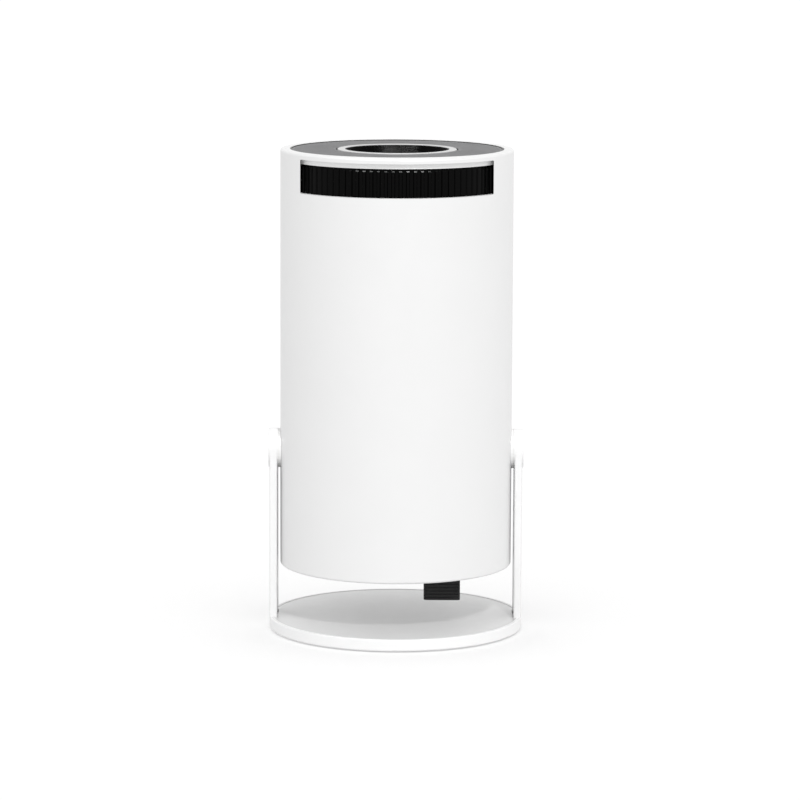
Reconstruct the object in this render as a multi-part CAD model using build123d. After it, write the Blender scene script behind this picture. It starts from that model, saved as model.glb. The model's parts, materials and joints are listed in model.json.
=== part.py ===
"""A compact cylindrical video projector on a round, tilting U stand.

The projector stands on its base with the lens pointing straight up. Millimetres, +Z up. The origin is
the centre of the base's underside, on the surface the stand rests on. +X runs along the tilt axis, and
-Y is the side with the focus window. The optical axis is the Z axis.
"""

from build123d import *
import math
import os

# ---- driving dimensions -----------------------------------------------------------------------------
BASE_RADIUS = 59.2
BASE_HEIGHT = 6.0
HOUSING_RADIUS = 54.0
HOUSING_BOTTOM = 30.7
HOUSING_LENGTH = 194.6
PIVOT_HEIGHT = 84.9
SHELL_WALL = 2.4

ARM_WIDTH = 18.5
ARM_INNER_RADIUS = 55.9
ARM_FOOT_REACH = 37.0

FOCUS_WINDOW_HALF_WIDTH = 44.0
FOCUS_WINDOW_BOTTOM = 207.1
FOCUS_WINDOW_TOP = 222.6
FOCUS_RIBS = 96

LENS_OPENING_RADIUS = 24.1
LENS_TRIM_RADIUS = 27.6
RIM_OPENING_RADIUS = 49.5

INLET_X, INLET_Y = 21.5, -27.0
CONNECTOR_BOTTOM = 19.1

# ---- derived dimensions -----------------------------------------------------------------------------
HOUSING_TOP = HOUSING_BOTTOM + HOUSING_LENGTH
SHELL_INNER = HOUSING_RADIUS - SHELL_WALL
COVER_OUTER_FACE = HOUSING_BOTTOM + 2.0
COVER_INNER_FACE = COVER_OUTER_FACE + 2.5
LIP_BOTTOM = HOUSING_TOP - 2.0
SLEEVE_BOTTOM = HOUSING_TOP - 6.3
GRILLE_TOP = HOUSING_TOP - 0.35
TRIM_TOP = HOUSING_TOP - 0.2
SHROUD_TOP = TRIM_TOP - 0.3
HEAD_RADIUS = ARM_WIDTH / 2
HEAD_INNER_X = 54.9
HEAD_OUTER_X = 58.9
BULKHEAD_BOTTOM = 160.0
BULKHEAD_TOP = 163.0
HEATSINK_TOP = 84.0
CORNER_RADIUS = 48.2
CORNER_POST_RADIUS = 3.8
PILOT_RADIUS = 1.2
SCREW_HOLE_RADIUS = 1.7
CORNER_ANGLES = (45, 135, 225, 315)
SIDES = (("left", -1), ("right", 1))
RUNNING_GAP = 0.08
FIT_GAP = 0.1
THROUGH = 100.0


# ---- small helpers ----------------------------------------------------------------------------------
def rod(radius, z0, z1, x=0.0, y=0.0):
    """A solid cylinder along Z."""
    return Pos(x, y, (z0 + z1) / 2) * Cylinder(radius, z1 - z0)


def tube(outer, inner, z0, z1, x=0.0, y=0.0):
    """A round tube along Z."""
    return rod(outer, z0, z1, x, y) - rod(inner, z0 - 1, z1 + 1, x, y)


def block(x0, x1, y0, y1, z0, z1):
    """A box between two corners."""
    middle = Pos((x0 + x1) / 2, (y0 + y1) / 2, (z0 + z1) / 2)
    return middle * Box(x1 - x0, y1 - y0, z1 - z0)


def rod_x(radius, x0, x1, y=0.0, z=PIVOT_HEIGHT):
    """A solid cylinder along X."""
    return Pos((x0 + x1) / 2, y, z) * Rot(0, 90, 0) * Cylinder(radius, abs(x1 - x0))


def rod_y(radius, y0, y1, x=0.0, z=0.0):
    """A solid cylinder along Y."""
    return Pos(x, (y0 + y1) / 2, z) * Rot(90, 0, 0) * Cylinder(radius, y1 - y0)


def rounded_block(width, depth, corner, z0, z1, x=0.0, y=0.0):
    """An upright block with rounded vertical edges."""
    outline = RectangleRounded(width, depth, corner)
    return Pos(x, y, z0) * extrude(outline, z1 - z0)


def turned(points):
    """A solid of revolution about Z, from (radius, z) points."""
    profile = Plane.XZ * make_face(Polyline(*points, close=True))
    return revolve(profile, Axis.Z)


def round_edge(shape, radius_at, z_at, amount):
    """Rounds the circular edge of that radius at that height."""
    rims = [
        edge
        for edge in shape.edges().filter_by(GeomType.CIRCLE)
        if abs(edge.radius - radius_at) < 0.01 and abs(edge.center().Z - z_at) < 0.01
    ]
    return fillet(rims, amount)


def at_corners(radius=CORNER_RADIUS, angles=CORNER_ANGLES):
    """The (x, y) points at those angles on that radius."""
    return [
        (radius * math.cos(math.radians(a)), radius * math.sin(math.radians(a)))
        for a in angles
    ]


def together(shapes):
    """Several separate solids as one node."""
    return Compound(children=[solid for shape in shapes for solid in shape.solids()])


def flip_x(shape, side):
    """The shape as made for +X, or its mirror image for -X."""
    return shape if side > 0 else shape.mirror(Plane.YZ)


def lens(radius, z0, z1, front_bulge, back_bulge):
    """A biconvex glass: its rim runs from z0 to z1, and each face bulges past it."""
    upper = (radius**2 + front_bulge**2) / (2 * front_bulge)
    lower = (radius**2 + back_bulge**2) / (2 * back_bulge)
    body = rod(radius, z0 - back_bulge, z1 + front_bulge)
    body = body & (Pos(0, 0, z1 + front_bulge - upper) * Sphere(upper))
    return body & (Pos(0, 0, z0 - back_bulge + lower) * Sphere(lower))


def wire(points, radius, bend):
    """An insulated lead along straight runs joined by arcs."""
    path = FilletPolyline(*points, radius=bend)
    return sweep(Plane(path @ 0, z_dir=path % 0) * Circle(radius), path)


def machine_screw(head_radius, head_height, shank_radius, z_head, z_tip, x, y):
    """A pan-head screw standing along Z, its head at z_head and its tip at z_tip, with a cross recess."""
    up = 1 if z_tip > z_head else -1
    z_neck = z_head + up * head_height
    head = rod(head_radius, min(z_head, z_neck), max(z_head, z_neck), x, y)
    shank = rod(shank_radius, min(z_neck, z_tip), max(z_neck, z_tip), x, y)
    depth = head_height * 0.5
    slot_z = sorted((z_head - up * 0.1, z_head + up * depth))
    length = head_radius * 0.65
    cross = block(x - length, x + length, y - 0.3, y + 0.3, *slot_z)
    cross += block(x - 0.3, x + 0.3, y - length, y + length, *slot_z)
    return head + shank - cross


# ---- the stand --------------------------------------------------------------------------------------
DISH_BOTTOM = 0.5
DISH_FLOOR = 2.6
PLATE_LEDGE = 4.9
PLATE_RADIUS = 57.4
FLOOR_PARTS_TOP = 4.8
FOOT_OUTER, FOOT_INNER, FOOT_GROOVE_TOP = 54.0, 47.0, 1.6
CENTRE_BOSS_RADIUS = 8.0
ARM_SCREW_RADIUS = 1.5
ARM_SCREW_X, ARM_SCREW_Y = 41.0, 5.0
INSERT_RADIUS = 5.5
TRIPOD_BORE = 2.6
AXLE_RADIUS = 4.0
SCREW_HEAD_RADIUS = 5.8
SCREW_SEAT_X = 57.3
PLATE_NOTCH_X = math.sqrt(ARM_INNER_RADIUS**2 - HEAD_RADIUS**2) - FIT_GAP


def arm_screw_points():
    return [
        (sx * ARM_SCREW_X, sy * ARM_SCREW_Y) for sx in (-1, 1) for sy in (-1, 1)
    ]


def base_dish():
    """The moulded dish that holds the arms' feet and the ballast."""
    dish = rod(BASE_RADIUS, DISH_BOTTOM, BASE_HEIGHT)
    dish = round_edge(dish, BASE_RADIUS, DISH_BOTTOM, 0.8)
    dish = round_edge(dish, BASE_RADIUS, BASE_HEIGHT, 0.5)
    dish -= rod(PLATE_RADIUS + FIT_GAP, PLATE_LEDGE, BASE_HEIGHT + 1)
    dish -= rod(ARM_INNER_RADIUS, DISH_FLOOR, BASE_HEIGHT)
    dish -= tube(FOOT_OUTER + FIT_GAP, FOOT_INNER - FIT_GAP, 0, FOOT_GROOVE_TOP)
    notch = HEAD_RADIUS + FIT_GAP
    for _, side in SIDES:
        x0, x1 = sorted((side * (ARM_INNER_RADIUS - 5), side * THROUGH))
        dish -= block(x0, x1, -notch, notch, DISH_FLOOR, BASE_HEIGHT + 1)
    dish += rod(CENTRE_BOSS_RADIUS, DISH_BOTTOM, FLOOR_PARTS_TOP)
    dish -= rod(INSERT_RADIUS, 0, BASE_HEIGHT)
    for x, y in arm_screw_points():
        dish -= rod(ARM_SCREW_RADIUS + 0.2, 0, DISH_FLOOR + 1, x, y)
        dish -= rod(2.8, 0, 1.8, x, y)
    return dish


def base_top_plate():
    """The plate that closes the dish, with a notch for each arm."""
    plate = rod(PLATE_RADIUS, PLATE_LEDGE, BASE_HEIGHT - 0.15)
    notch = HEAD_RADIUS + FIT_GAP
    for _, side in SIDES:
        x0, x1 = sorted((side * PLATE_NOTCH_X, side * THROUGH))
        plate -= block(x0, x1, -notch, notch, 0, BASE_HEIGHT + 1)
    return plate


def base_weight():
    """Steel ballast that keeps the stand from tipping."""
    return tube(ARM_FOOT_REACH - 1.0, CENTRE_BOSS_RADIUS + 0.5, DISH_FLOOR, FLOOR_PARTS_TOP)


def foot_ring():
    """The rubber ring that the stand rests on."""
    ring = tube(FOOT_OUTER, FOOT_INNER, 0, FOOT_GROOVE_TOP)
    return round_edge(ring, FOOT_OUTER, 0, 0.3)


def tripod_insert():
    """A brass insert for a quarter-inch tripod or ceiling-bracket screw."""
    insert = rod(INSERT_RADIUS, DISH_BOTTOM, FLOOR_PARTS_TOP)
    return insert - rod(TRIPOD_BORE, 0, BASE_HEIGHT)


def arm(side):
    """One arm: a foot under the plate, an upright curved strip, and a flat round head."""
    strip = tube(BASE_RADIUS, ARM_INNER_RADIUS, DISH_FLOOR, PIVOT_HEIGHT)
    strip &= block(0, THROUGH, -HEAD_RADIUS, HEAD_RADIUS, 0, PIVOT_HEIGHT)
    uprights = strip.edges().filter_by(Axis.Z).sort_by(Axis.X)
    strip = fillet(uprights[:2], 0.8)
    strip -= rod_x(HEAD_RADIUS, HEAD_OUTER_X, THROUGH)
    foot_end = ARM_INNER_RADIUS + 0.6
    foot = block(ARM_FOOT_REACH, foot_end, -HEAD_RADIUS, HEAD_RADIUS, DISH_FLOOR, FLOOR_PARTS_TOP)
    head = rod_x(HEAD_RADIUS, HEAD_INNER_X, HEAD_OUTER_X)
    shape = strip + foot + head
    shape -= rod_x(AXLE_RADIUS, 0, THROUGH)
    shape -= rod_x(SCREW_HEAD_RADIUS + 0.7, SCREW_SEAT_X, THROUGH)
    for y in (-ARM_SCREW_Y, ARM_SCREW_Y):
        shape -= rod(ARM_SCREW_RADIUS, 0, BASE_HEIGHT, ARM_SCREW_X, y)
    return flip_x(shape, side)


def arm_screws():
    """Four screws that hold the arms' feet to the dish, driven from below."""
    return together(
        machine_screw(2.6, 1.2, ARM_SCREW_RADIUS, 0.6, 4.6, x, y)
        for x, y in arm_screw_points()
    )


def pivot_cap(side):
    """The disc that hides a pivot screw."""
    cap = rod_x(HEAD_RADIUS - 0.15, HEAD_OUTER_X, HEAD_OUTER_X + 0.65)
    outer = cap.edges().filter_by(GeomType.CIRCLE).sort_by(Axis.X)[-1]
    cap = fillet(outer, 0.4)
    return flip_x(cap, side)


# ---- the pivots, which turn with the housing --------------------------------------------------------
BOSS_FACE_X = 54.35
BOSS_PLUG_RADIUS = 6.0
PLUG_END_X = 48.0
THREAD_RADIUS = 2.9


def pivot_boss(side):
    """The saddle bush on the shell that the arm's head turns against, plugged into the shell's wall."""
    boss = rod_x(HEAD_RADIUS - 0.05, 50, BOSS_FACE_X)
    boss -= rod(HOUSING_RADIUS + 0.05, PIVOT_HEIGHT - 20, PIVOT_HEIGHT + 20)
    boss += rod_x(BOSS_PLUG_RADIUS, PLUG_END_X, BOSS_FACE_X)
    boss -= rod_x(THREAD_RADIUS + 0.05, 0, THROUGH)
    return flip_x(boss, side)


def both_sides(piece):
    """A piece made for +X together with its mirror image."""
    return together((piece, flip_x(piece, -1)))


def friction_washers():
    """The thin washers that give the tilt its drag."""
    washer = rod_x(HEAD_RADIUS - 0.15, BOSS_FACE_X, HEAD_INNER_X - 0.05)
    return both_sides(washer - rod_x(AXLE_RADIUS + 0.2, 0, THROUGH))


def pivot_screws():
    """Shoulder screws: each shoulder is the tilt axle, and each head has a cross recess."""
    head_end = SCREW_SEAT_X + 1.3
    screw = rod_x(THREAD_RADIUS, PLUG_END_X - 3.0, BOSS_FACE_X + 0.1)
    screw += rod_x(AXLE_RADIUS - RUNNING_GAP, BOSS_FACE_X, SCREW_SEAT_X + 0.1)
    screw += rod_x(SCREW_HEAD_RADIUS, SCREW_SEAT_X + 0.1, head_end)
    recess = Pos(head_end - 0.3, 0, PIVOT_HEIGHT)
    screw -= recess * Box(0.8, 6.0, 1.0)
    screw -= recess * Box(0.8, 1.0, 6.0)
    return both_sides(screw)


def pivot_nuts():
    """Hexagonal nuts inside the shell."""
    outline = Plane.YZ * RegularPolygon(5.6, 6)
    nut = Pos(PLUG_END_X - 3.4, 0, PIVOT_HEIGHT) * extrude(outline, 3.3)
    return both_sides(nut - rod_x(THREAD_RADIUS + 0.05, 0, THROUGH))


# ---- housing ----------------------------------------------------------------------------------------
SPEAKER_Z = 183.0
SPEAKER_HOLE_PITCH = 4.2
SPEAKER_HOLE_RINGS = 3


def speaker_hole_points():
    """A hexagonal field of (x, z) points."""
    count = SPEAKER_HOLE_RINGS
    points = []
    for q in range(-count, count + 1):
        for r in range(-count, count + 1):
            if abs(q + r) <= count:
                x = SPEAKER_HOLE_PITCH * (q + r / 2)
                z = SPEAKER_HOLE_PITCH * r * math.sqrt(3) / 2
                points.append((x, SPEAKER_Z + z))
    return points


def shell():
    """The one-piece outer shell, with an inward lip at the lens end."""
    body = rod(HOUSING_RADIUS, HOUSING_BOTTOM, HOUSING_TOP)
    body = round_edge(body, HOUSING_RADIUS, HOUSING_TOP, 1.3)
    body = round_edge(body, HOUSING_RADIUS, HOUSING_BOTTOM, 1.0)
    body -= rod(SHELL_INNER, HOUSING_BOTTOM - 1, LIP_BOTTOM)
    body -= rod(RIM_OPENING_RADIUS, LIP_BOTTOM - 1, HOUSING_TOP + 1)
    body = round_edge(body, RIM_OPENING_RADIUS, HOUSING_TOP, 0.2)
    inside = rod(HOUSING_RADIUS - 1.0, HOUSING_BOTTOM, HOUSING_TOP)
    for x, y in at_corners():
        for foot, height in ((COVER_INNER_FACE, 17.0), (BULKHEAD_TOP, 9.0)):
            body += rod(CORNER_POST_RADIUS, foot, foot + height, x, y) & inside
            body -= rod(PILOT_RADIUS, foot - 1, foot + height - 3, x, y)
    window = RectangleRounded(
        2 * FOCUS_WINDOW_HALF_WIDTH, FOCUS_WINDOW_TOP - FOCUS_WINDOW_BOTTOM, 0.6
    )
    middle = (FOCUS_WINDOW_TOP + FOCUS_WINDOW_BOTTOM) / 2
    body -= Pos(0, -24.0, middle) * extrude(Plane.XZ * window, 40)
    for _, side in SIDES:
        body -= rod_x(BOSS_PLUG_RADIUS + FIT_GAP, *sorted((side * 45.0, side * 60.0)))
    for x, z in speaker_hole_points():
        body -= rod_y(0.95, 40, 60, x, z)
    return body


def front_bezel():
    """The spider behind the grille; its skirt shows above the focus ring."""
    skirt_bottom, spoke_bottom, tube_bottom = 220.2, 221.0, 219.0
    bezel = tube(SHELL_INNER - FIT_GAP, RIM_OPENING_RADIUS - 0.5, skirt_bottom, LIP_BOTTOM)
    bezel += tube(30.0, LENS_TRIM_RADIUS + FIT_GAP, tube_bottom, LIP_BOTTOM)
    for k in range(6):
        spoke = block(29.5, RIM_OPENING_RADIUS, -1.5, 1.5, spoke_bottom, LIP_BOTTOM)
        bezel += Rot(0, 0, 60 * k + 30) * spoke
    return bezel


def front_grille():
    """The annular grille round the lens, with rings of open slots and a thin flange at its foot."""
    outer, inner = RIM_OPENING_RADIUS - 0.5, LENS_TRIM_RADIUS + 0.8
    grille = tube(outer, inner, LIP_BOTTOM, GRILLE_TOP)
    grille += tube(outer + 0.3, inner - 0.5, LIP_BOTTOM, LIP_BOTTOM + 0.5)
    for radius in (32.0, 36.0, 40.0, 44.0):
        slots = tube(radius + 0.8, radius - 0.8, LIP_BOTTOM - 1, HOUSING_TOP)
        for k in range(6):
            bridge = block(inner, outer, -1.8, 1.8, LIP_BOTTOM - 3, HOUSING_TOP + 3)
            slots -= Rot(0, 0, 60 * k + 30) * bridge
        grille -= slots
    return grille


def lens_trim_ring():
    """The light ring round the lens opening."""
    sleeve_inner = LENS_OPENING_RADIUS + 2.1
    ring = tube(LENS_TRIM_RADIUS, LENS_OPENING_RADIUS, SHROUD_TOP, TRIM_TOP)
    ring += tube(LENS_TRIM_RADIUS, sleeve_inner, SLEEVE_BOTTOM, SHROUD_TOP)
    ring = round_edge(ring, LENS_TRIM_RADIUS, TRIM_TOP, 0.3)
    return round_edge(ring, LENS_OPENING_RADIUS, TRIM_TOP, 0.12)


def lens_shroud():
    """The black sleeve that the barrel moves in."""
    return tube(LENS_OPENING_RADIUS + 2.05, LENS_OPENING_RADIUS, SLEEVE_BOTTOM - 0.6, SHROUD_TOP)


# ---- focusing group ---------------------------------------------------------------------------------
BARREL_RADIUS = 23.6
BARREL_BOTTOM = 170.5
BARREL_TOP = 217.0
FRONT_RING_BOTTOM = 206.0
MOUTH_RADIUS = 21.6
GLASS_LIP_RADIUS = 17.95
FOCUS_RING_RADIUS = 51.0
FOCUS_RING_TOP = 219.8
FOCUS_RING_BOTTOM = 205.6
RIB_TOP = 219.2
COLLAR_RADIUS = 50.2
GROOVE_RADIUS = 50.45
SLEEVE_RADIUS = 26.5
SLEEVE_FOOT, SLEEVE_HEAD = 194.5, 218.0
GUIDE_RADIUS, GUIDE_TOP = 29.0, 202.0
SPOKE_BOTTOM, SPOKE_TOP = 206.4, 208.6
FRONT_SEAT, MIDDLE_SEAT, REAR_SEAT = 19.1, 17.1, 16.1


def rib_groove():
    """One groove between two ribs of the focus ring, narrower at its floor than at its mouth."""
    floor, mouth, reach = 0.75, 1.42, FOCUS_RING_RADIUS + 0.5
    outline = Polyline(
        (GROOVE_RADIUS, -floor), (reach, -mouth), (reach, mouth), (GROOVE_RADIUS, floor), close=True
    )
    height = FOCUS_RING_TOP - FOCUS_RING_BOTTOM + 2
    return Pos(0, 0, FOCUS_RING_BOTTOM - 1) * extrude(make_face(outline), height)


def focus_ring():
    """The ribbed ring with a smooth collar above its ribs, its spokes and its inner band."""
    ring = turned(
        [
            (48.0, FOCUS_RING_BOTTOM),
            (FOCUS_RING_RADIUS, FOCUS_RING_BOTTOM),
            (FOCUS_RING_RADIUS, RIB_TOP - 0.5),
            (FOCUS_RING_RADIUS - 0.2, RIB_TOP),
            (COLLAR_RADIUS, RIB_TOP),
            (COLLAR_RADIUS, FOCUS_RING_TOP),
            (48.0, FOCUS_RING_TOP),
        ]
    )
    groove = rib_groove()
    ring -= [Rot(0, 0, 360 * k / FOCUS_RIBS) * groove for k in range(FOCUS_RIBS)]
    for k in range(6):
        spoke = block(SLEEVE_RADIUS + 1.5, 48.5, -3.0, 3.0, SPOKE_BOTTOM, SPOKE_TOP)
        ring += Rot(0, 0, 60 * k) * spoke
    return ring + tube(SLEEVE_RADIUS + 2.5, SLEEVE_RADIUS + 0.02, SPOKE_BOTTOM, SPOKE_TOP + 1.4)


def focus_sleeve():
    """The threaded sleeve that the focus ring turns and that drives the barrel."""
    return tube(SLEEVE_RADIUS, BARREL_RADIUS + RUNNING_GAP, SLEEVE_FOOT, SLEEVE_HEAD)


def lens_barrel():
    """The sliding barrel, stepped inside for its three glasses."""
    return turned(
        [
            (BARREL_RADIUS, BARREL_BOTTOM),
            (BARREL_RADIUS, FRONT_RING_BOTTOM),
            (FRONT_SEAT, FRONT_RING_BOTTOM),
            (FRONT_SEAT, 201.0),
            (15.0, 201.0),
            (15.0, 195.0),
            (MIDDLE_SEAT, 195.0),
            (MIDDLE_SEAT, 186.5),
            (14.5, 186.5),
            (14.5, 182.0),
            (REAR_SEAT, 182.0),
            (REAR_SEAT, 173.0),
            (17.5, BARREL_BOTTOM),
        ]
    )


def front_lens():
    return lens(FRONT_SEAT - 0.05, 203.5, 205.5, 3.6, 1.6)


def middle_lens():
    return lens(MIDDLE_SEAT - 0.05, 189.5, 191.5, 2.6, 2.2)


def rear_lens():
    return lens(REAR_SEAT - 0.05, 177.0, 179.0, 1.6, 3.0)


def lens_retainer():
    """The front ring, screwed to the barrel: its lip holds the front glass and it is the barrel's mouth."""
    foot = FRONT_RING_BOTTOM + 0.02
    return turned(
        [
            (GLASS_LIP_RADIUS, foot),
            (BARREL_RADIUS, foot),
            (BARREL_RADIUS, BARREL_TOP),
            (MOUTH_RADIUS + 1.2, BARREL_TOP),
            (MOUTH_RADIUS, BARREL_TOP - 2.0),
            (MOUTH_RADIUS, 212.0),
            (GLASS_LIP_RADIUS, foot + 1.2),
        ]
    )


def lens_holder():
    """The bulkhead across the shell, with the guide tube and the focus ring's bearing."""
    below, above = BULKHEAD_BOTTOM - 5, BULKHEAD_TOP + 5
    holder = rod(SHELL_INNER - 0.3, BULKHEAD_BOTTOM, BULKHEAD_TOP)
    for angle in (0, 90, 180, 270):
        holder -= Rot(0, 0, angle) * block(38.5, 46.0, -18, 18, below, above)
    holder += rod(GUIDE_RADIUS, BULKHEAD_BOTTOM, GUIDE_TOP)
    holder -= rod(SLEEVE_RADIUS + RUNNING_GAP, SLEEVE_FOOT - 0.3, GUIDE_TOP + 1)
    holder -= rod(BARREL_RADIUS + RUNNING_GAP, below, SLEEVE_FOOT)
    for x, y in at_corners():
        holder -= rod(SCREW_HOLE_RADIUS, below, above, x, y)
    return holder


# ---- light engine -----------------------------------------------------------------------------------
BOX_X, BOX_Y = 37.0, 25.0
BOX_WALL = 2.0
SINK_SCREW = 22.0
SINK_HALF = 26.0
SINK_FINS = 13
STANDOFF_RADIUS = 2.6
STANDOFF_POINTS = ((-30.0, 95.0), (30.0, 95.0), (-30.0, 145.0), (30.0, 145.0))
MAIN_BOARD_Y = -32.4
POWER_BOARD_Y = 34.4


def sink_screw_points():
    return [(x, y) for x in (-SINK_SCREW, SINK_SCREW) for y in (-SINK_SCREW, SINK_SCREW)]


def light_box():
    """The closed box that the light crosses, with posts for both circuit boards."""
    box = block(-BOX_X, BOX_X, -BOX_Y, BOX_Y, HEATSINK_TOP, BULKHEAD_BOTTOM)
    inner_x, inner_y = BOX_X - BOX_WALL, BOX_Y - BOX_WALL
    box -= block(-inner_x, inner_x, -inner_y, inner_y, 86.0, BULKHEAD_BOTTOM + 1)
    box -= block(-18, 18, -18, 18, 80, 90)
    for x, z in STANDOFF_POINTS:
        box += rod_y(STANDOFF_RADIUS, MAIN_BOARD_Y, -BOX_Y + 0.5, x, z)
        box += rod_y(STANDOFF_RADIUS, BOX_Y - 0.5, POWER_BOARD_Y, x, z)
        box -= rod_y(1.0, MAIN_BOARD_Y - 1, -BOX_Y - 1.5, x, z)
        box -= rod_y(1.0, BOX_Y + 1.5, POWER_BOARD_Y + 1, x, z)
    for x, y in sink_screw_points():
        box -= rod(PILOT_RADIUS, 80, 90, x, y)
    return box


def panel(z0, z1):
    """A flat optical panel that fits the light box."""
    half_x, half_y = BOX_X - BOX_WALL - 0.15, BOX_Y - BOX_WALL - 0.15
    return block(-half_x, half_x, -half_y, half_y, z0, z1)


def fresnel_lenses():
    """The two flat lenses, one on each side of the liquid-crystal panel."""
    return together((panel(121.0, 123.0), panel(134.0, 136.0)))


def lcd_panel():
    """The liquid-crystal panel: a glass in a frame."""
    return panel(127.0, 129.6)


def panel_spacers():
    """Two frames that hold the optical panels apart."""
    frames = []
    for z0, z1 in ((123.0, 127.0), (129.6, 134.0)):
        frames.append(panel(z0, z1) - block(-31, 31, -19, 19, z0 - 1, z1 + 1))
    return together(frames)


def reflector_cone():
    """The mirror funnel between the lamp and the first panel."""

    def funnel(inset):
        bottom = Pos(0, 0, 86.4) * Rectangle(26 - inset, 18 - inset)
        top = Pos(0, 0, 120.8) * Rectangle(66 - inset, 42 - inset)
        return loft([bottom, top])

    return funnel(0.0) - funnel(1.6)


def lamp_module():
    """The copper-core board with the lamp chip on it, bought as one part."""
    board = block(-17, 17, -17, 17, HEATSINK_TOP, 85.6)
    return board + block(-10, 10, -6, 6, 85.6, 86.2)


def heat_sink():
    """The finned aluminium block behind the lamp."""
    sink = block(-SINK_HALF, SINK_HALF, -SINK_HALF, SINK_HALF, 80.0, HEATSINK_TOP)
    first, half_fin = 0.6 - SINK_HALF, 0.6
    for k in range(SINK_FINS):
        y = first - 2 * first * k / (SINK_FINS - 1)
        sink += block(-SINK_HALF, SINK_HALF, y - half_fin, y + half_fin, 57.0, 80.5)
    for x, y in sink_screw_points():
        sink -= rod(3.2, 50, 80, x, y)
        sink -= rod(SCREW_HOLE_RADIUS, 50, 90, x, y)
    return sink


def heat_sink_screws():
    return together(
        machine_screw(2.7, 1.8, 1.15, 78.2, 85.8, x, y) for x, y in sink_screw_points()
    )


# ---- fan --------------------------------------------------------------------------------------------
FAN_Y = 14.0
FAN_BOTTOM, FAN_TOP = 38.0, 53.0
FAN_SIZE, FAN_THROAT, FAN_HUB = 50.0, 23.6, 10.5
FAN_HOLE = 20.0
FAN_BLADES = 9


def fan_hole_points():
    return [(sx * FAN_HOLE, FAN_Y + sy * FAN_HOLE) for sx in (-1, 1) for sy in (-1, 1)]


def fan_frame():
    """The square frame with the motor seat on four struts."""
    frame = rounded_block(FAN_SIZE, FAN_SIZE, 3, FAN_BOTTOM, FAN_TOP, 0, FAN_Y)
    frame -= rod(FAN_THROAT, 30, 60, 0, FAN_Y)
    for k in range(4):
        strut = block(8, 24.4, -1.2, 1.2, FAN_BOTTOM, FAN_BOTTOM + 2.0)
        frame += Pos(0, FAN_Y, 0) * Rot(0, 0, 90 * k + 45) * strut
    frame += rod(FAN_HUB, FAN_BOTTOM, FAN_BOTTOM + 2.0, 0, FAN_Y)
    frame += rod(3.5, FAN_BOTTOM + 1.0, 48.0, 0, FAN_Y)
    frame -= rod(1.06, 39.0, 60, 0, FAN_Y)
    for x, y in fan_hole_points():
        frame -= rod(1.7, 30, 60, x, y)
    return frame


def fan_rotor():
    """The hub cup with its pitched blades."""
    rotor = rod(FAN_HUB, 41.0, 52.4)
    for k in range(FAN_BLADES):
        blade = Box(13.4, 1.2, 12.6)
        blade = Pos(15.9, 0, 46.8) * Rot(38, 0, 0) * blade
        rotor += Rot(0, 0, 360 * k / FAN_BLADES) * blade
    rotor &= rod(FAN_THROAT - 0.7, 41.0, 52.4)
    rotor -= rod(9.0, 40.0, 50.8)
    rotor = Pos(0, FAN_Y, 0) * rotor
    return rotor - rod(1.0, 50.0, 53.0, 0, FAN_Y)


def fan_shaft():
    return rod(1.0, 39.4, 52.0, 0, FAN_Y)


def fan_screws():
    return together(
        machine_screw(2.6, 1.6, 1.1, FAN_TOP + 1.6, 36.2, x, y)
        for x, y in fan_hole_points()
    )


# ---- electronics ------------------------------------------------------------------------------------
VIDEO_X, DATA_X, JACK_X = -20.0, -3.6, 7.2
PORT_Y = -29.4
INLET_WIDTH, INLET_DEPTH, INLET_CORNER = 18.6, 12.0, 2.6
LOBE_OFFSET, LOBE_RADIUS = 3.1, 4.25
PIN_OFFSET, PIN_RADIUS = 4.3, 1.18
BUTTON_Y, BUTTON_RADIUS = -42.0, 4.5
BUTTON_POST_X = 13.2
BOARD_THICKNESS = 1.6


def main_board():
    """The control board with its processor, cooler and chokes."""
    front = MAIN_BOARD_Y - BOARD_THICKNESS
    board = block(-38, 38, front, MAIN_BOARD_Y, 56, 152)
    board += block(-28.5, 10.5, front, MAIN_BOARD_Y, 40, 56.5)
    for x, z in STANDOFF_POINTS:
        board -= rod_y(1.3, front - 1, MAIN_BOARD_Y + 1, x, z)
    board += block(-10, 8, front - 1.4, front, 100, 118)
    board += block(14, 22, front - 2.2, front, 104, 114)
    board += block(-26, -18, front - 1.2, front, 70, 84)
    board += block(20, 27, front - 3.0, front, 70, 77)
    board += rod_y(3.0, front - 5.0, front, 6, 66)
    return board


def processor_cooler():
    """The small finned cooler on the processor."""
    front = MAIN_BOARD_Y - 3.0
    cooler = block(-11, 9, front - 1.5, front, 99, 119)
    for k in range(7):
        x = -10.4 + k * 3.133
        cooler += block(x - 0.5, x + 0.5, front - 6.5, front - 1.0, 99, 119)
    return cooler


def video_socket():
    """The video socket: a metal shell with chamfered corners round a thin tongue."""
    outer = Polyline(
        (-7.6, 2.9), (7.6, 2.9), (7.6, -1.2), (6.0, -2.8), (-6.0, -2.8), (-7.6, -1.2), close=True
    )
    body = extrude(make_face(outer), 13)
    cavity = offset(make_face(outer), -0.4)
    body -= Pos(0, 0, -1) * extrude(cavity, 12)
    tongue = Pos(0, 0.2, 6.0) * Box(11.4, 1.2, 10.4)
    return Pos(VIDEO_X, PORT_Y, COVER_OUTER_FACE + 0.3) * (body + tongue)


def data_socket():
    """The data socket: a metal shell round a tongue."""
    body = extrude(RectangleRounded(13.2, 5.8, 0.5), 14)
    body -= Pos(0, 0, -1) * extrude(RectangleRounded(12.4, 5.0, 0.3), 13)
    tongue = Pos(0, -1.3, 6.6) * Box(11.0, 1.6, 11.6)
    return Pos(DATA_X, PORT_Y, COVER_OUTER_FACE + 0.3) * (body + tongue)


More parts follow.
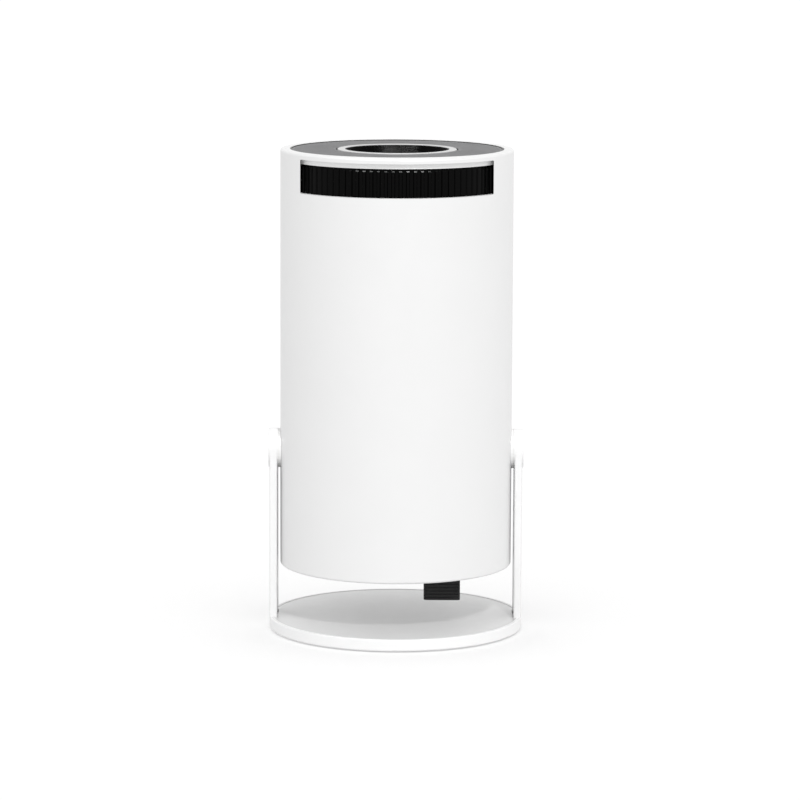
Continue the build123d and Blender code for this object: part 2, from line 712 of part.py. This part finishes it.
def audio_jack():
    """The headphone socket."""
    jack = rod(3.4, COVER_OUTER_FACE + 0.1, 37.0, JACK_X, PORT_Y)
    jack += block(JACK_X - 3.4, JACK_X + 3.4, PORT_Y - 3.0, PORT_Y + 3.0, 36.5, 47.0)
    return jack - rod(1.8, 30, 46.0, JACK_X, PORT_Y)


def board_screws():
    """Eight small screws that hold both boards to their posts."""
    screws = []
    for x, z in STANDOFF_POINTS:
        seats = ((MAIN_BOARD_Y - BOARD_THICKNESS, -1), (POWER_BOARD_Y + BOARD_THICKNESS, 1))
        for y_seat, outward in seats:
            head = rod_y(2.2, *sorted((y_seat, y_seat + outward * 1.4)), x, z)
            shank = rod_y(0.98, *sorted((y_seat, y_seat - outward * 5.0)), x, z)
            screws.append(head + shank)
    return together(screws)


def power_board():
    """The supply board with its transformer, capacitors and coil."""
    back = POWER_BOARD_Y + BOARD_THICKNESS
    board = block(-33, 33, POWER_BOARD_Y, back, 62, 152)
    for x, z in STANDOFF_POINTS:
        board -= rod_y(1.3, POWER_BOARD_Y - 1, back + 1, x, z)
    board += block(-19, -3, back, back + 10.5, 100, 122)
    board += rod_y(6.0, back, back + 10.0, 9.0, 82)
    board += rod_y(4.2, back, back + 9.5, 12.0, 106)
    board += rod_y(4.2, back, back + 9.5, 12.0, 118)
    board += block(-16, -6, back, back + 8.0, 74, 88)
    return board


def figure_eight(radius, z0, z1):
    """Two overlapping round lobes, side by side on the inlet's centre."""
    left, right = (
        rod(radius, z0, z1, INLET_X + dx, INLET_Y) for dx in (-LOBE_OFFSET, LOBE_OFFSET)
    )
    return left + right


def power_inlet():
    """The figure-eight mains inlet."""
    inlet = rounded_block(
        INLET_WIDTH, INLET_DEPTH, INLET_CORNER, COVER_OUTER_FACE, 47.0, INLET_X, INLET_Y
    )
    return inlet - figure_eight(LOBE_RADIUS, COVER_OUTER_FACE - 1, COVER_OUTER_FACE + 10.3)


def inlet_pins():
    """The inlet's two round pins."""
    return together(
        rod(PIN_RADIUS, COVER_OUTER_FACE + 1.8, 43.0, INLET_X + dx, INLET_Y)
        for dx in (-PIN_OFFSET, PIN_OFFSET)
    )


def button_board():
    """The small board with the power switch, the receiver and the lamp."""
    board = block(-15.5, 15.5, BUTTON_Y - 4.2, BUTTON_Y + 4.2, 42.0, 43.2)
    board += block(-3, 3, BUTTON_Y - 3, BUTTON_Y + 3, 39.6, 42.0)
    board += rod(1.6, 39.1, 40.0, 0, BUTTON_Y)
    board += block(WINDOW_X - 2, WINDOW_X + 2, BUTTON_Y - 2, BUTTON_Y + 2, 38.4, 42.0)
    for x in (-BUTTON_POST_X, BUTTON_POST_X):
        board -= rod(1.3, 40, 45, x, BUTTON_Y)
    return board


def lcd_ribbon():
    """The flat flexible cable from the panel to the control board."""
    ribbon = block(-12, 12, -31.6, -BOX_Y - 0.1, 128.0, 128.3)
    ribbon += block(-12, 12, -31.9, -31.6, 122.0, 128.3)
    return ribbon


def speaker_frame():
    """The loudspeaker's basket and magnet."""
    frame = rod_y(18.0, 44.6, 46.6, 0, SPEAKER_Z) - rod_y(15.6, 44, 48, 0, SPEAKER_Z)
    frame += rod_y(17.0, 39.0, 44.8, 0, SPEAKER_Z) - rod_y(15.6, 40.4, 48, 0, SPEAKER_Z)
    frame += rod_y(11.0, 32.5, 39.2, 0, SPEAKER_Z)
    return frame


def speaker_cone():
    """The paper cone with its dust cap."""
    profile = [
        (15.4, 45.8),
        (15.4, 45.3),
        (13.2, 45.3),
        (6.0, 41.6),
        (6.0, 42.2),
        (12.8, 45.8),
    ]
    outline = make_face(Polyline(*[(r, z) for r, z in profile], close=True))
    cone = revolve(Plane.XZ * outline, Axis.Z)
    dome = (Pos(0, 0, 38.9) * Sphere(7.0)) & rod(5.95, 41.6, 47.0)
    dome -= Pos(0, 0, 38.4) * Sphere(7.0)
    cone += dome + tube(6.3, 5.2, 41.6, 42.4)
    return Pos(0, 0, SPEAKER_Z) * Rot(-90, 0, 0) * cone


def speaker_gasket():
    """The foam ring between the loudspeaker and the shell."""
    ring = rod_y(17.6, 46.6, 50.0, 0, SPEAKER_Z) - rod_y(15.6, 46, 52, 0, SPEAKER_Z)
    return ring & rod(SHELL_INNER - 0.05, 150, 210)


def power_leads():
    """The two insulated leads from the inlet to the supply board."""
    leads = []
    for dx, x_end in ((-PIN_OFFSET, 29.6), (PIN_OFFSET, 33.6)):
        points = [
            (INLET_X + dx, INLET_Y, 47.0),
            (INLET_X + dx, INLET_Y, 53.0),
            (x_end, -10.0, 53.5),
            (x_end, 20.0, 58.0),
            (x_end - 4.0, POWER_BOARD_Y - 3.0, 66.0),
        ]
        leads.append(wire(points, 1.0, 3.0))
    return together(leads)


# ---- rear cover and its button ----------------------------------------------------------------------
WINDOW_X, WINDOW_RADIUS = -8.2, 2.4
VENT_RADII = (8.0, 12.0, 16.0, 20.0, 24.0)
VENT_WIDTH = 2.2
VENT_BRIDGE = 2.4


def vent_slots():
    """Rings of round-ended slots over the fan, four to a ring."""
    slots = []
    for radius in VENT_RADII:
        end_angle = math.degrees(VENT_BRIDGE / radius)
        for k in range(4):
            arc = CenterArc((0, FAN_Y), radius, 90 * k + end_angle, 90 - 2 * end_angle)
            slots.append(Pos(0, 0, 30) * extrude(SlotArc(arc, VENT_WIDTH), 10))
    return slots


def rear_cover():
    """The cover at the end away from the lens, with vents and ports."""
    cover = rod(SHELL_INNER - 0.2, COVER_OUTER_FACE, COVER_INNER_FACE)
    cover -= vent_slots()
    cover -= rounded_block(
        INLET_WIDTH + 0.2, INLET_DEPTH + 0.2, INLET_CORNER + 0.1, 30, 40, INLET_X, INLET_Y
    )
    cover -= rounded_block(15.6, 6.2, 0.4, 30, 40, VIDEO_X, PORT_Y)
    cover -= rounded_block(13.6, 6.2, 0.6, 30, 40, DATA_X, PORT_Y)
    cover -= rod(3.5, 30, 40, JACK_X, PORT_Y)
    cover -= rod(BUTTON_RADIUS + FIT_GAP, 30, 40, 0, BUTTON_Y)
    cover -= rod(WINDOW_RADIUS, 30, 40, WINDOW_X, BUTTON_Y)
    for x, y in at_corners():
        cover -= rod(SCREW_HOLE_RADIUS, 30, 40, x, y)
        cover -= rod(2.8, 30, COVER_OUTER_FACE + 1.3, x, y)
    for x, y in fan_hole_points():
        cover += rod(3.0, COVER_INNER_FACE, FAN_BOTTOM, x, y)
        cover -= rod(1.1, 34.0, 40, x, y)
    for x in (-BUTTON_POST_X, BUTTON_POST_X):
        cover += rod(2.2, COVER_INNER_FACE, 42.0, x, BUTTON_Y)
    return cover


def housing_screws():
    """Four screws hold the rear cover to the shell, and four hold the bulkhead."""
    screws = []
    for x, y in at_corners():
        screws.append(machine_screw(2.6, 1.3, 1.15, COVER_OUTER_FACE, 46.0, x, y))
        screws.append(machine_screw(2.6, 1.6, 1.15, BULKHEAD_BOTTOM - 1.6, 169.0, x, y))
    return together(screws)


def power_button():
    """The round push button, held in by its flange."""
    tip = COVER_OUTER_FACE - 0.9
    button = rod(BUTTON_RADIUS, tip, 38.0, 0, BUTTON_Y)
    button = round_edge(button, BUTTON_RADIUS, tip, 0.4)
    return button + rod(BUTTON_RADIUS + 1.1, COVER_INNER_FACE + 0.1, 36.2, 0, BUTTON_Y)


def infrared_window():
    return rod(WINDOW_RADIUS, COVER_OUTER_FACE, COVER_INNER_FACE + 0.4, WINDOW_X, BUTTON_Y)


# ---- power connector --------------------------------------------------------------------------------
GRIP_WIDTH, GRIP_DEPTH = 16.8, 10.5
GRIP_TOP = COVER_OUTER_FACE - 0.4
RIB_PITCH = 1.56
RIB_DEPTH = 0.45


def power_connector():
    """The figure-eight connector: a smooth nose and a ribbed grip."""
    grip = rounded_block(GRIP_WIDTH, GRIP_DEPTH, 1.6, CONNECTOR_BOTTOM, GRIP_TOP, INLET_X, INLET_Y)
    core = rounded_block(
        GRIP_WIDTH - 2 * RIB_DEPTH, GRIP_DEPTH - 2 * RIB_DEPTH, 1.3, 0, 60, INLET_X, INLET_Y
    )
    z = CONNECTOR_BOTTOM + 1.0
    while z < GRIP_TOP - 1.2:
        groove = rounded_block(30, 30, 1, z, z + 0.6, INLET_X, INLET_Y)
        grip -= groove - core
        z += RIB_PITCH
    connector = grip + figure_eight(LOBE_RADIUS - 0.2, GRIP_TOP - 0.5, GRIP_TOP + 9.4)
    for dx in (-PIN_OFFSET, PIN_OFFSET):
        connector -= rod(PIN_RADIUS + 0.17, 28.0, 50, INLET_X + dx, INLET_Y)
    return connector


PARTS = {
    "base_dish": base_dish,
    "base_top_plate": base_top_plate,
    "base_weight": base_weight,
    "foot_ring": foot_ring,
    "tripod_insert": tripod_insert,
    "arm_screws": arm_screws,
    "friction_washers": friction_washers,
    "pivot_screws": pivot_screws,
    "pivot_nuts": pivot_nuts,
    "shell": shell,
    "front_bezel": front_bezel,
    "front_grille": front_grille,
    "lens_trim_ring": lens_trim_ring,
    "lens_shroud": lens_shroud,
    "focus_ring": focus_ring,
    "focus_sleeve": focus_sleeve,
    "lens_barrel": lens_barrel,
    "front_lens": front_lens,
    "middle_lens": middle_lens,
    "rear_lens": rear_lens,
    "lens_retainer": lens_retainer,
    "lens_holder": lens_holder,
    "light_box": light_box,
    "fresnel_lenses": fresnel_lenses,
    "lcd_panel": lcd_panel,
    "panel_spacers": panel_spacers,
    "reflector_cone": reflector_cone,
    "lamp_module": lamp_module,
    "heat_sink": heat_sink,
    "heat_sink_screws": heat_sink_screws,
    "fan_frame": fan_frame,
    "fan_rotor": fan_rotor,
    "fan_shaft": fan_shaft,
    "fan_screws": fan_screws,
    "main_board": main_board,
    "processor_cooler": processor_cooler,
    "video_socket": video_socket,
    "data_socket": data_socket,
    "audio_jack": audio_jack,
    "board_screws": board_screws,
    "power_board": power_board,
    "power_inlet": power_inlet,
    "inlet_pins": inlet_pins,
    "power_leads": power_leads,
    "button_board": button_board,
    "lcd_ribbon": lcd_ribbon,
    "speaker_frame": speaker_frame,
    "speaker_cone": speaker_cone,
    "speaker_gasket": speaker_gasket,
    "rear_cover": rear_cover,
    "housing_screws": housing_screws,
    "power_button": power_button,
    "infrared_window": infrared_window,
    "power_connector": power_connector,
}
PAIRS = {
    "arm": arm,
    "pivot_cap": pivot_cap,
    "pivot_boss": pivot_boss,
}


def main():
    os.makedirs("parts", exist_ok=True)
    for name, make in PARTS.items():
        export_step(make(), f"parts/{name}.step")
    for name, make in PAIRS.items():
        for word, side in SIDES:
            export_step(make(side), f"parts/{word}_{name}.step")


main()
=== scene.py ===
import json
import math

import bmesh
import bpy
from mathutils import Matrix, Vector


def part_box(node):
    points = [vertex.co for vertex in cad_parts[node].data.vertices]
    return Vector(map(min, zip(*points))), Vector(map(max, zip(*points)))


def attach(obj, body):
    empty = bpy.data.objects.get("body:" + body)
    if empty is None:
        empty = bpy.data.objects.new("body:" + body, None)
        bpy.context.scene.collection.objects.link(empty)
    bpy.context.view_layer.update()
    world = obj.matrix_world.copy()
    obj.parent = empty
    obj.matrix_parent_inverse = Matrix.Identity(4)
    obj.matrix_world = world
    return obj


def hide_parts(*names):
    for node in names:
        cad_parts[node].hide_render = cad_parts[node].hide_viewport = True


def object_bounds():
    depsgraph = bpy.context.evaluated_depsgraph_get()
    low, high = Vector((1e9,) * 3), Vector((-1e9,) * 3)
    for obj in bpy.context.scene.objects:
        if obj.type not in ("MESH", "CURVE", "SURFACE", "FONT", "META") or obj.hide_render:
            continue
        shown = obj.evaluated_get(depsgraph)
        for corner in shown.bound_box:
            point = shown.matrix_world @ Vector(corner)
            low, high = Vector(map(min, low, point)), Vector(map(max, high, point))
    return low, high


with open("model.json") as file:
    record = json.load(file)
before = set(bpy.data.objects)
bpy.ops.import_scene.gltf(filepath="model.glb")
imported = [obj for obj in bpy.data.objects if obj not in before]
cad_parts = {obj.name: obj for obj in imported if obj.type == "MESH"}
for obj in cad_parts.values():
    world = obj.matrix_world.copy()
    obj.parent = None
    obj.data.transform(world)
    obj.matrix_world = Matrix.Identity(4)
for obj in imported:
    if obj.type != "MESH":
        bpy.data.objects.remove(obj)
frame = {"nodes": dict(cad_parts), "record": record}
CAD_BOX = [list(corner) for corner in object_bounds()]
NODES = frame["nodes"]
MM = 0.001


# ---- node material helpers --------------------------------------------------------------------------
class Maker:
    """Builds one node material: a Principled shader with named nodes wired into it."""

    def __init__(self, name, colour, roughness, **sockets):
        self.material = bpy.data.materials.new(name)
        self.material.use_nodes = True
        self.tree = self.material.node_tree
        self.shader = self.tree.nodes["Principled BSDF"]
        self.set("Base Color", (*colour, 1.0))
        self.set("Roughness", roughness)
        for socket, value in sockets.items():
            self.set(socket.replace("_", " "), value)
        self.place = self.tree.nodes.new("ShaderNodeTexCoord").outputs["Object"]

    def set(self, socket, value):
        self.shader.inputs[socket].default_value = value

    def link(self, source, target):
        self.tree.links.new(source, target)

    def to_shader(self, source, socket):
        self.link(source, self.shader.inputs[socket])

    def noise(self, scale, detail=3.0, roughness=0.5, stretch=None):
        node = self.tree.nodes.new("ShaderNodeTexNoise")
        node.inputs["Scale"].default_value = scale
        node.inputs["Detail"].default_value = detail
        node.inputs["Roughness"].default_value = roughness
        self.link(self.stretched(stretch), node.inputs["Vector"])
        return node.outputs["Fac"]

    def stretched(self, stretch):
        if stretch is None:
            return self.place
        node = self.tree.nodes.new("ShaderNodeMapping")
        node.inputs["Scale"].default_value = stretch
        self.link(self.place, node.inputs["Vector"])
        return node.outputs["Vector"]

    def ramp(self, source, low, high, start=0.3, end=0.7):
        """Maps a texture onto two colours or two greys."""
        node = self.tree.nodes.new("ShaderNodeValToRGB")
        dark, light = node.color_ramp.elements
        dark.position, light.position = start, end
        dark.color = (*low, 1.0) if isinstance(low, tuple) else (low, low, low, 1.0)
        light.color = (*high, 1.0) if isinstance(high, tuple) else (high, high, high, 1.0)
        self.link(source, node.inputs["Fac"])
        return node.outputs["Color"]

    def bump(self, source, height_mm, strength=1.0):
        node = self.tree.nodes.new("ShaderNodeBump")
        node.inputs["Strength"].default_value = strength
        node.inputs["Distance"].default_value = height_mm * MM
        self.link(source, node.inputs["Height"])
        self.to_shader(node.outputs["Normal"], "Normal")


def moulded(name, colour, roughness, grain=2600.0, grain_mm=0.012, tint=0.03, **sockets):
    """Moulded plastic: faint tone drift, uneven gloss and a fine spark-eroded grain."""
    maker = Maker(name, colour, roughness, **sockets)
    dark = tuple(c * (1 - tint) for c in colour)
    light = tuple(min(1.0, c * (1 + tint)) for c in colour)
    maker.to_shader(maker.ramp(maker.noise(38.0, 4.0), dark, light), "Base Color")
    gloss = maker.ramp(maker.noise(160.0, 5.0, 0.6), roughness * 0.92, min(1.0, roughness * 1.1))
    maker.to_shader(gloss, "Roughness")
    maker.bump(maker.noise(grain, 2.0), grain_mm, 0.35)
    return maker.material


def turned(name, colour, roughness, pitch_mm=0.55, depth_mm=0.07, **sockets):
    """Blackened parts turned on a lathe, with fine grooves round the optical axis."""
    maker = Maker(name, colour, roughness, **sockets)
    wave = maker.tree.nodes.new("ShaderNodeTexWave")
    wave.bands_direction = "Z"
    wave.inputs["Scale"].default_value = math.pi / (10 * pitch_mm * MM)
    wave.inputs["Distortion"].default_value = 0.6
    maker.link(maker.place, wave.inputs["Vector"])
    maker.to_shader(maker.ramp(maker.noise(200.0, 3.0), roughness * 0.8, roughness * 1.25), "Roughness")
    maker.bump(wave.outputs["Fac"], depth_mm, 1.0)
    return maker.material


def metal(name, colour, roughness, stretch, scratch=900.0):
    """Metal with fine directional scratches."""
    maker = Maker(name, colour, roughness, Metallic=1.0)
    lines = maker.noise(scratch, 4.0, 0.65, stretch)
    maker.to_shader(maker.ramp(lines, roughness * 0.7, roughness * 1.35), "Roughness")
    tone = maker.ramp(maker.noise(90.0), tuple(c * 0.93 for c in colour), colour)
    maker.to_shader(tone, "Base Color")
    maker.bump(lines, 0.01, 0.25)
    return maker.material


def circuit_board(name):
    """Green solder mask with lighter tracks showing through."""
    maker = Maker(name, (0.015, 0.11, 0.05), 0.32)
    tracks = maker.noise(420.0, 1.0, 0.4, (1.0, 1.0, 3.0))
    maker.to_shader(maker.ramp(tracks, (0.012, 0.09, 0.04), (0.03, 0.2, 0.09), 0.47, 0.53), "Base Color")
    maker.bump(tracks, 0.03, 0.4)
    return maker.material


def glass(name, tint, roughness=0.02, **sockets):
    """Coated optical glass, slightly uneven in gloss."""
    maker = Maker(name, tint, roughness, **sockets)
    maker.to_shader(maker.ramp(maker.noise(240.0, 3.0), roughness * 0.6, roughness * 1.8), "Roughness")
    return maker.material


def paper(name):
    """Pressed fibre of the loudspeaker's cone."""
    maker = Maker(name, (0.03, 0.03, 0.032), 0.85)
    fibres = maker.noise(1500.0, 5.0, 0.7)
    maker.to_shader(maker.ramp(fibres, (0.02, 0.02, 0.02), (0.07, 0.07, 0.07)), "Base Color")
    maker.bump(fibres, 0.05, 0.6)
    return maker.material


# ---- the materials ----------------------------------------------------------------------------------
MATERIALS = {
    "white_shell": moulded("white_shell", (0.66, 0.66, 0.66), 0.42, tint=0.006),
    "white_stand": moulded("white_stand", (0.74, 0.74, 0.74), 0.36, tint=0.006),
    "white_inner": moulded("white_inner", (0.76, 0.76, 0.76), 0.5, tint=0.01),
    "base_pad": moulded(
        "base_pad", (0.565, 0.565, 0.565), 0.34, grain=1700.0, grain_mm=0.02, tint=0.02,
        Coat_Weight=0.4, Coat_Roughness=0.12,
    ),
    "grille_mesh": moulded("grille_mesh", (0.21, 0.21, 0.213), 0.75, tint=0.08, Specular_IOR_Level=0.08),
    "black_ribbed": moulded(
        "black_ribbed", (0.001, 0.001, 0.001), 0.19, tint=0.1, Specular_IOR_Level=0.05
    ),
    "black_barrel": turned("black_barrel", (0.0015, 0.0015, 0.0015), 0.26, Specular_IOR_Level=0.07),
    "connector_black": moulded(
        "connector_black", (0.015, 0.015, 0.015), 0.42, tint=0.12, Specular_IOR_Level=0.14
    ),
    "rubber_foot": moulded("rubber_foot", (0.05, 0.05, 0.05), 0.8, grain=1200.0, grain_mm=0.04, tint=0.1),
    "lens_glass": glass("lens_glass", (0.72, 0.78, 0.92), Transmission_Weight=1.0, IOR=1.52),
    "panel_glass": glass("panel_glass", (0.03, 0.035, 0.045), 0.08),
    "steel": metal("steel", (0.56, 0.56, 0.57), 0.3, (1.0, 6.0, 1.0)),
    "brass_parts": metal("brass_parts", (0.72, 0.5, 0.2), 0.28, (1.0, 1.0, 6.0)),
    "washer_plastic": moulded("washer_plastic", (0.72, 0.72, 0.71), 0.6),
    "aluminium_parts": metal("aluminium_parts", (0.78, 0.78, 0.8), 0.34, (1.0, 1.0, 8.0)),
    "dark_internal": moulded("dark_internal", (0.02, 0.02, 0.021), 0.55, tint=0.1),
    "circuit_board": circuit_board("circuit_board"),
    "ribbon_film": moulded("ribbon_film", (0.55, 0.27, 0.06), 0.35),
    "speaker_paper": paper("speaker_paper"),
}

# The lens trim ring gets a darker grey than the white shell: painted shade for the shade on its front in the
# recess.
PAINTED_SHADE_OVERRIDES = {"lens_trim_ring": moulded("trim_ring_painted_shade", (0.5, 0.5, 0.5), 0.5, tint=0.01)}


def dress_nodes():
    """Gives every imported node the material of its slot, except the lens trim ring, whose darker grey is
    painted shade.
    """
    for entry in frame["record"]["subparts"]:
        mesh = NODES[entry["node"]].data
        mesh.materials.clear()
        mesh.materials.append(PAINTED_SHADE_OVERRIDES.get(entry["node"], MATERIALS[entry["material_slot"]]))


# ---- pieces made here -------------------------------------------------------------------------------
GRILLE_LOW, GRILLE_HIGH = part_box("front_grille")
TRIM_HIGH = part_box("lens_trim_ring")[1]
GRILLE_OUTER = GRILLE_HIGH.x - 0.7 * MM
GRILLE_INNER = TRIM_HIGH.x + 0.8 * MM
GRILLE_BORDER = 0.95 * MM
HOLE_PITCH, HOLE_RADIUS, HOLE_DEPTH = 1.15 * MM, 0.37 * MM, 0.45 * MM
CLOTH_DEPTH = 0.8 * MM
# A dark ring round the sheet's outer edge is painted shade for the shaded gap between the grille and the
# rim.
SHADE_RING_INNER = GRILLE_OUTER + 0.05 * MM
SHADE_RING_HEIGHT = 0.28 * MM
CIRCLE_STEPS = 180
# Material indices: the grey sheet, and the dark cloth, whose material also makes the ring of painted shade.
SHEET, CLOTH_AND_SHADE_RING = 0, 1


def piece(name, mesh, slot, body):
    """Puts a finished mesh in the scene as a piece that rides on a body."""
    made = bpy.data.objects.new(name, mesh)
    bpy.context.collection.objects.link(made)
    mesh.materials.append(MATERIALS[slot])
    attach(made, body)
    return made


def circle(bm, radius, z):
    """A closed loop of edges: its corners and its edges."""
    turn = 2 * math.pi / CIRCLE_STEPS
    ring = [
        bm.verts.new((radius * math.cos(k * turn), radius * math.sin(k * turn), z))
        for k in range(CIRCLE_STEPS)
    ]
    return ring, [bm.edges.new((ring[k], ring[(k + 1) % CIRCLE_STEPS])) for k in range(CIRCLE_STEPS)]


def turned_skin(bm, profile, material_index):
    """The surface swept by a profile of (radius, z) points round the optical axis."""
    loops = [circle(bm, radius, z)[0] for radius, z in profile]
    for upper, lower in zip(loops, loops[1:]):
        for k in range(len(upper)):
            n = (k + 1) % len(upper)
            face = bm.faces.new((upper[k], lower[k], lower[n], upper[n]))
            face.material_index = material_index


def pierced_cells(bm, keep, top):
    """A hexagonal field of cells, each with a hole through it, wherever keep(reach) is true."""
    cell, row_step = HOLE_PITCH / math.sqrt(3), HOLE_PITCH * math.sqrt(3) / 2

    def corners(cx, cy, radius, z):
        angles = [math.radians(60 * k + 30) for k in range(6)]
        return [bm.verts.new((cx + radius * math.cos(a), cy + radius * math.sin(a), z)) for a in angles]

    rows = int(GRILLE_OUTER / row_step) + 1
    for row in range(-rows, rows + 1):
        for column in range(-rows, rows + 1):
            cx, cy = (column + 0.5 * (row % 2)) * HOLE_PITCH, row * row_step
            if not keep(math.hypot(cx, cy)):
                continue
            rim, lip = corners(cx, cy, cell, top), corners(cx, cy, HOLE_RADIUS, top)
            foot = corners(cx, cy, HOLE_RADIUS, top - HOLE_DEPTH)
            for k in range(6):
                n = (k + 1) % 6
                bm.faces.new((rim[k], rim[n], lip[n], lip[k]))
                bm.faces.new((lip[k], lip[n], foot[n], foot[k]))
    bmesh.ops.remove_doubles(bm, verts=bm.verts, dist=0.02 * MM)


def perforated_grille():
    """The annular sheet round the lens: fine holes, a plain border, a dark cloth behind and a dark ring
    round its outer edge that is painted shade for the shaded gap there.
    """
    top, foot = GRILLE_HIGH.z, GRILLE_LOW.z
    cloth, shade_ring_top = top - CLOTH_DEPTH, top + SHADE_RING_HEIGHT
    bm = bmesh.new()
    pierced_cells(bm, lambda reach: GRILLE_INNER + GRILLE_BORDER < reach < GRILLE_OUTER - GRILLE_BORDER, top)
    open_edges = [
        edge
        for edge in bm.edges
        if edge.is_boundary and all(abs(vert.co.z - top) < 0.01 * MM for vert in edge.verts)
    ]
    outer_edges = circle(bm, GRILLE_OUTER, top)[1]
    inner_edges = circle(bm, GRILLE_INNER, top)[1]
    bmesh.ops.triangle_fill(bm, use_beauty=True, edges=open_edges + outer_edges + inner_edges)
    turned_skin(bm, [(GRILLE_OUTER, top), (GRILLE_OUTER, foot)], SHEET)
    turned_skin(bm, [(GRILLE_INNER, foot), (GRILLE_INNER, top)], SHEET)
    turned_skin(bm, [(GRILLE_OUTER, cloth), (GRILLE_INNER - 0.5 * MM, cloth)], CLOTH_AND_SHADE_RING)
    # The dark ring round the sheet's outer edge: painted shade for the shaded gap to the rim.
    shade_ring = [(SHADE_RING_INNER, cloth), (SHADE_RING_INNER, shade_ring_top), (GRILLE_HIGH.x, shade_ring_top), (GRILLE_HIGH.x, cloth)]
    turned_skin(bm, shade_ring + shade_ring[:1], CLOTH_AND_SHADE_RING)
    bmesh.ops.remove_doubles(bm, verts=bm.verts, dist=0.005 * MM)
    bmesh.ops.recalc_face_normals(bm, faces=bm.faces)
    mesh = bpy.data.meshes.new("grille_sheet")
    bm.to_mesh(mesh)
    bm.free()
    sheet = piece("grille_sheet", mesh, "grille_mesh", "housing")
    mesh.materials.append(MATERIALS["black_barrel"])
    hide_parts("front_grille")


# ---- floor, light and camera ------------------------------------------------------------------------
def floor():
    """A wide white floor with a faint glow, which keeps it white under the object."""
    bpy.ops.mesh.primitive_plane_add(size=12.0, location=(0, 0, 0))
    plane = bpy.context.object
    plane.name = "floor"
    maker = Maker("floor_white", (0.72, 0.72, 0.72), 1.0, Specular_IOR_Level=0.0)
    maker.set("Emission Color", (1.0, 1.0, 1.0, 1.0))
    maker.set("Emission Strength", 0.26)
    plane.data.materials.append(maker.material)
    return plane


def aimed_lamp(name, data, elevation, azimuth):
    """A lamp that shines on the object from a direction, azimuth degrees from the front towards +X."""
    lamp = bpy.data.objects.new(name, data)
    el, az = math.radians(elevation), math.radians(azimuth)
    towards = Vector((math.sin(az) * math.cos(el), -math.cos(az) * math.cos(el), math.sin(el)))
    lamp.rotation_euler = towards.to_track_quat("Z", "Y").to_euler()
    bpy.context.collection.objects.link(lamp)
    return lamp, towards


def key_light(elevation, azimuth, strength, spread, spared):
    """A distant light from the front that leaves out one object."""
    data = bpy.data.lights.new("key", "SUN")
    data.energy, data.angle = strength, math.radians(spread)
    lamp, _ = aimed_lamp("key", data, elevation, azimuth)
    left_out = bpy.data.collections.new("left_out_of_key")
    left_out.objects.link(spared)
    left_out.collection_objects[0].light_linking.link_state = "EXCLUDE"
    lamp.light_linking.receiver_collection = left_out


def strip_light(elevation, azimuth, distance, width, height, power):
    """A long thin lamp above the front that only draws highlights on glossy parts."""
    data = bpy.data.lights.new("strip", "AREA")
    data.shape, data.size, data.size_y, data.energy = "RECTANGLE", width, height, power
    lamp, towards = aimed_lamp("strip", data, elevation, azimuth)
    lamp.visible_diffuse = False
    lamp.location = Vector((0, 0, CAD_BOX[1][2])) + towards * distance


def studio(ground):
    """An even white surround, a key light from the front and a strip light above it."""
    world = bpy.data.worlds.new("studio")
    bpy.context.scene.world = world
    world.use_nodes = True
    background = world.node_tree.nodes["Background"]
    background.inputs["Color"].default_value = (1.0, 1.0, 1.0, 1.0)
    background.inputs["Strength"].default_value = 1.07
    key_light(elevation=40, azimuth=14, strength=1.32, spread=6, spared=ground)
    strip_light(elevation=42, azimuth=-6, distance=1.3, width=1.7, height=0.12, power=75.0)
    bpy.context.scene.view_settings.view_transform = "Standard"


def camera():
    """A long lens a little above the object, looking slightly down at it."""
    distance, pitch, roll = 1.7829, math.radians(8.632), math.radians(0.246)
    target = Vector((0.0018, 0.0, 0.1076))
    back = Vector((0, -math.cos(pitch), math.sin(pitch)))
    data = bpy.data.cameras.new("camera")
    data.sensor_width, data.lens = 36.0, 171.9
    data.clip_start, data.clip_end = 0.05, 50.0
    made = bpy.data.objects.new("camera", data)
    turn = (-back).to_track_quat("-Z", "Y").to_matrix() @ Matrix.Rotation(roll, 3, "Z")
    made.matrix_world = Matrix.Translation(target + back * distance) @ turn.to_4x4()
    bpy.context.collection.objects.link(made)
    bpy.context.scene.camera = made


dress_nodes()
perforated_grille()
studio(floor())
camera()
